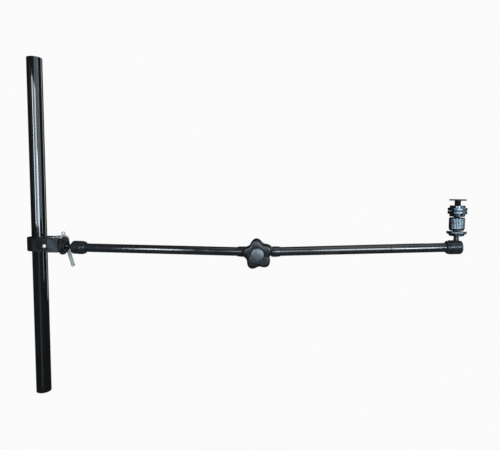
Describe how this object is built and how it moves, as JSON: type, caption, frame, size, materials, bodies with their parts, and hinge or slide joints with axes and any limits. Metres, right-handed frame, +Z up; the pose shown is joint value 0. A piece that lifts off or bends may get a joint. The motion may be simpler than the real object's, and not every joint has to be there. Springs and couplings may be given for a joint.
{
  "type": "articulated pole arm",
  "caption": "Friction arm with a ball joint at each end and a star knob elbow, clamped to a round upright pole, with a shoe foot on its upright head.",
  "frame": {"origin": "centre of the pole's lower end, on the pole's axis", "axes": "+Z up along the pole, +X from the pole along the arm, -Y toward the elbow knob"},
  "size_m": [0.4711, 0.0532, 0.3755],
  "materials": {
    "pole": "high gloss black tube",
    "plug": "moulded plastic",
    "liner": "thin hard plastic",
    "hook": "satin black coating on a cast body",
    "bridge": "satin slate grey",
    "chrome": "bright plated steel",
    "steel": "turned steel",
    "nylon": "natural nylon",
    "anodised": "black anodised, fine turned finish",
    "tube": "black anodised, satin",
    "knob": "moulded black plastic",
    "cap": "satin blue-grey cap",
    "brass": "turned brass"
  },
  "bodies": {
    "upright": {"pole_tube": "pole", "pole_top_plug": "plug", "pole_bottom_plug": "plug"},
    "sleeve": {"clamp_sleeve": "liner"},
    "clamp": {"clamp_hook": "hook", "clamp_bridge": "bridge", "clamp_pin": "chrome", "clamp_nut": "steel"},
    "jaw": {"clamp_jaw": "steel"},
    "screw": {"clamp_screw": "chrome"},
    "bar": {"tommy_bar": "chrome", "tommy_bar_cap_top": "chrome", "tommy_bar_cap_bottom": "chrome"},
    "left_stud": {"left_ball_stud": "steel"},
    "left_wheel": {"left_lock_wheel": "anodised"},
    "left_core": {"left_seat": "nylon", "left_push_rod": "steel"},
    "left_arm": {"left_socket": "anodised", "left_collar": "anodised", "left_tube_outer": "tube", "left_tube_inner": "tube", "left_tube_sleeve": "steel", "left_ferrule": "anodised", "left_hub": "anodised", "elbow_bolt": "steel", "elbow_wedge": "steel", "elbow_washer_front": "steel", "elbow_washer_back": "steel", "elbow_nut": "steel"},
    "elbow_knob": {"knob": "knob", "knob_insert": "brass", "knob_cap": "cap"},
    "right_arm": {"right_hub": "anodised", "right_ferrule": "anodised", "right_tube_inner": "tube", "right_tube_outer": "tube", "right_tube_sleeve": "steel", "right_collar": "anodised", "right_socket": "anodised", "right_seat": "nylon", "right_push_rod": "steel"},
    "right_stud": {"right_ball_stud": "steel"},
    "right_wheel": {"right_lock_wheel": "anodised"},
    "head": {"head_coupler": "anodised", "shoe_foot": "anodised"},
    "lower_disc": {"lock_disc_lower": "anodised"},
    "upper_disc": {"lock_disc_upper": "anodised"}
  },
  "joints": [
    {"name": "clamp_slide", "type": "slide", "parent": "upright", "child": "sleeve", "axis": [0, 0, 1], "range_m": [-0.12, 0.12]},
    {"name": "clamp_swivel", "type": "hinge", "parent": "sleeve", "child": "clamp", "pos_m": [0, 0, 0.1716], "axis": [0, 0, 1], "continuous": true},
    {"name": "jaw_slide", "type": "slide", "parent": "clamp", "child": "jaw", "axis": [1, 0, 0], "range_m": [0, 0.00056]},
    {"name": "clamp_screw_turn", "type": "hinge", "parent": "jaw", "child": "screw", "pos_m": [0.0278, 0.0045, 0.1762], "axis": [1, 0, 0], "range_deg": [0, 200]},
    {"name": "tommy_bar_slide", "type": "slide", "parent": "screw", "child": "bar", "axis": [0, -0.454, 0.891], "range_m": [-0.0031, 0.0306]},
    {"name": "left_stud_turn", "type": "hinge", "parent": "clamp", "child": "left_stud", "pos_m": [0.0487, -0.008, 0.16913], "axis": [0.9945, 0, -0.1045], "range_deg": [-180, 180]},
    {"name": "left_wheel_turn", "type": "hinge", "parent": "left_stud", "child": "left_wheel", "pos_m": [0.0487, -0.008, 0.16913], "axis": [0.9945, 0, -0.1045], "continuous": true},
    {"name": "left_ball_tilt", "type": "hinge", "parent": "left_stud", "child": "left_core", "pos_m": [0.0487, -0.008, 0.16913], "axis": [0, 1, 0], "range_deg": [-16, 27]},
    {"name": "left_arm_twist", "type": "hinge", "parent": "left_core", "child": "left_arm", "pos_m": [0.0487, -0.008, 0.16913], "axis": [1, 0, -0.0037], "range_deg": [-180, 180]},
    {"name": "knob_turn", "type": "hinge", "parent": "left_arm", "child": "elbow_knob", "pos_m": [0.2487, -0.008, 0.1684], "axis": [0, -1, 0], "range_deg": [-180, 180]},
    {"name": "elbow_bend", "type": "hinge", "parent": "left_arm", "child": "right_arm", "pos_m": [0.2487, -0.008, 0.1684], "axis": [0, 1, 0], "range_deg": [-120, 120]},
    {"name": "right_ball_tilt", "type": "hinge", "parent": "right_arm", "child": "right_stud", "pos_m": [0.44848, -0.008, 0.17789], "axis": [0, 1, 0], "range_deg": [0, 85]},
    {"name": "right_wheel_turn", "type": "hinge", "parent": "right_stud", "child": "right_wheel", "pos_m": [0.44848, -0.008, 0.17789], "axis": [0, 0, 1], "continuous": true},
    {"name": "head_turn", "type": "hinge", "parent": "right_stud", "child": "head", "pos_m": [0.44848, -0.008, 0.17789], "axis": [0, 0, 1], "continuous": true},
    {"name": "lower_disc_turn", "type": "hinge", "parent": "head", "child": "lower_disc", "pos_m": [0.44848, -0.008, 0.17789], "axis": [0, 0, 1], "continuous": true},
    {"name": "upper_disc_turn", "type": "hinge", "parent": "head", "child": "upper_disc", "pos_m": [0.44848, -0.008, 0.17789], "axis": [0, 0, 1], "continuous": true}
  ],
  "couplings": [
    {"joint": "jaw_slide", "follows": "clamp_screw_turn", "m_per_rad": 0.00015915}
  ]
}
